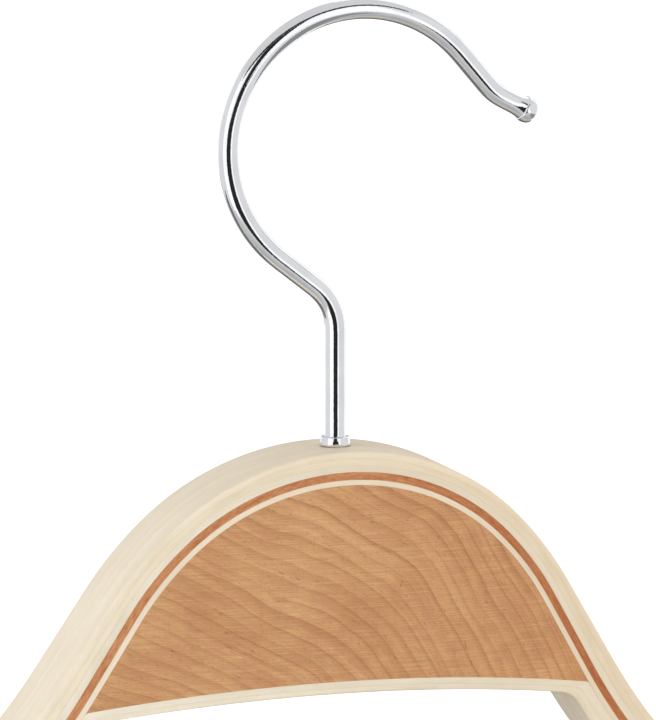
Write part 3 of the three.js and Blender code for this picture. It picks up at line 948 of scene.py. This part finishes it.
# Directions are in degrees: azimuth 0 is in front and 90 to the right. Distances are in metres.
VIEW_AZIMUTH, VIEW_ELEVATION, VIEW_DISTANCE = -18.5459, 8.7875, 1.797
VIEW_CENTRE = Vector((-1.506, 0, -67.704)) * MM
HOOK_CENTRE = Vector((5, 0, -30)) * MM
LENS, SENSOR_WIDTH = 450, 36
NEAREST, FARTHEST = 0.05, 60

SKY_BELOW, SKY_ABOVE = 0.42, 0.7
SKY_LOW, SKY_HIGH = -0.95, -0.5

FLOOR_DROP = 0.12
FLOOR_HALF_WIDTH, FLOOR_FRONT, FLOOR_BACK = 9.0, 6.0, 9.0
WALL_HEIGHT, WALL_RADIUS, WALL_STEPS = 6.0, 3.0, 24


def aim(thing, centre, azimuth, elevation, distance, axis):
    """Puts a thing at a distance from a point, in a direction, with an axis towards the point."""
    a, e = math.radians(azimuth), math.radians(elevation)
    way = Vector((math.sin(a) * math.cos(e), -math.cos(a) * math.cos(e), math.sin(e)))
    thing.location = centre + way * distance
    thing.rotation_mode = "QUATERNION"
    thing.rotation_quaternion = (-way).to_track_quat(axis, "Y")


def camera():
    """A long lens, a little to the left of the front and a little above."""
    data = bpy.data.cameras.new("camera")
    data.sensor_width = SENSOR_WIDTH
    data.lens = LENS
    data.clip_start, data.clip_end = NEAREST, FARTHEST
    eye = bpy.data.objects.new("camera", data)
    aim(eye, VIEW_CENTRE, VIEW_AZIMUTH, VIEW_ELEVATION, VIEW_DISTANCE, "-Z")
    bpy.context.scene.collection.objects.link(eye)
    bpy.context.scene.camera = eye


def sky():
    """Plain soft white light from all round, dimmer from straight below."""
    world = bpy.data.worlds.new("studio")
    bpy.context.scene.world = world
    world.use_nodes = True
    nodes, links = world.node_tree.nodes, world.node_tree.links
    where = nodes.new("ShaderNodeTexCoord")
    parts = nodes.new("ShaderNodeSeparateXYZ")
    links.new(where.outputs["Generated"], parts.inputs[0])
    strength = nodes.new("ShaderNodeMapRange")
    for i, value in enumerate((SKY_LOW, SKY_HIGH, SKY_BELOW, SKY_ABOVE), 1):
        strength.inputs[i].default_value = value
    links.new(parts.outputs[2], strength.inputs[0])
    links.new(strength.outputs[0], nodes["Background"].inputs["Strength"])
    nodes["Background"].inputs["Color"].default_value = (1, 1, 1, 1)


def softbox(name, azimuth, elevation, distance, size, power, colour):
    """A soft light. Polished metal doesn't show it: the cards below are its picture there."""
    data = bpy.data.lights.new(name, "AREA")
    data.shape = "RECTANGLE"
    data.size, data.size_y = size
    data.energy = power
    data.color = colour
    lamp = bpy.data.objects.new(name, data)
    aim(lamp, HOOK_CENTRE, azimuth, elevation, distance, "-Z")
    lamp.visible_glossy = False
    bpy.context.scene.collection.objects.link(lamp)


def glow(name, value):
    """A matt stage surface with a steady brightness of its own."""
    tree = Tree(name)
    tree.shader.inputs["Specular IOR Level"].default_value = 0.0
    tree.shader.inputs["Emission Color"].default_value = (1, 1, 1, 1)
    tree.shader.inputs["Emission Strength"].default_value = value
    return tree


def floor():
    """A plain pale sweep: a floor that curves up into a wall far behind."""
    bend = FLOOR_BACK - WALL_RADIUS
    profile = [(-FLOOR_FRONT, 0.0), (bend, 0.0)]
    for i in range(1, WALL_STEPS + 1):
        angle = math.pi / 2 * i / WALL_STEPS
        profile.append((bend + WALL_RADIUS * math.sin(angle), WALL_RADIUS * (1 - math.cos(angle))))
    profile.append((FLOOR_BACK, WALL_HEIGHT))
    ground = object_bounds()[0].z - FLOOR_DROP
    sides = (-FLOOR_HALF_WIDTH, FLOOR_HALF_WIDTH)
    vertices = [(x / MM, y / MM, (z + ground) / MM) for y, z in profile for x in sides]
    faces = [(2 * i, 2 * i + 1, 2 * i + 3, 2 * i + 2) for i in range(len(profile) - 1)]
    sheet = make_object("studio_floor", vertices, faces)
    pale = (*srgb((250, 250, 250)), 1)
    sheet.data.materials.append(glow("studio_floor", 0.5).finish(pale, 0.9))
    sheet.visible_glossy = False
    sheet.visible_diffuse = False
    sheet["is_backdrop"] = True


def card(name, azimuth, elevation, wide, high, value, distance):
    """A reflector or flag that only polished surfaces show, with its width and height in degrees."""
    x = distance * math.tan(math.radians(wide / 2)) / MM
    y = distance * math.tan(math.radians(high / 2)) / MM
    board = make_object(name, [(-x, -y, 0), (x, -y, 0), (x, y, 0), (-x, y, 0)], [(0, 1, 2, 3)])
    aim(board, HOOK_CENTRE, azimuth, elevation, distance, "Z")
    board.data.materials.append(glow(name, value).finish((0, 0, 0, 1), 1.0))
    board.visible_camera = False
    board.visible_diffuse = False
    board.visible_shadow = False
    board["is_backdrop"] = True


def cards():
    """What the chrome mirrors: white softboxes, and dark flags that draw its streaks."""
    for row in (
        ("flag_tall", -14, -14, 44, 36, 0.024, 1.9),
        ("flag_high", -15, 20, 27, 36, 0.02, 1.92),
        ("flag_wide", -12, 46, 84, 14, 0.02, 1.85),
        ("flag_back", 161, -9, 44, 44, 0.5, 2.0),
        ("flag_left", -130, -42, 36, 34, 0.18, 2.1),
        ("flag_low", 178, -47, 62, 30, 0.12, 2.15),
        ("flag_right", 66, -43, 66, 26, 0.28, 2.1),
        ("box_left", -57, 0, 40, 74, 1.15, 2.4),
        ("box_front", 5, 4, 38, 56, 1.1, 2.4),
        ("box_right", 135, -2, 66, 110, 1.1, 2.6),
        ("box_rear", -165, 2, 34, 30, 1.1, 2.6),
        ("side_left", -112, 0, 64, 70, 0.77, 2.8),
        ("side_right", 63, 2, 74, 70, 0.77, 2.8),
    ):
        card(*row)


def studio():
    """The camera, the lights, the floor and the cards."""
    bpy.context.scene.view_settings.view_transform = "Standard"
    camera()
    sky()
    softbox("key", -72, 16, 1.6, (1.1, 1.4), 12.5, (0.9, 0.965, 1.0))
    softbox("fill", 48, 8, 1.8, (1.0, 1.0), 11.7, (1.0, 0.89, 0.70))
    softbox("bounce", -60, -60, 1.8, (1.4, 1.4), 3.4, (1.0, 0.99, 0.88))
    floor()
    cards()


build_wood()
build_metal()
studio()
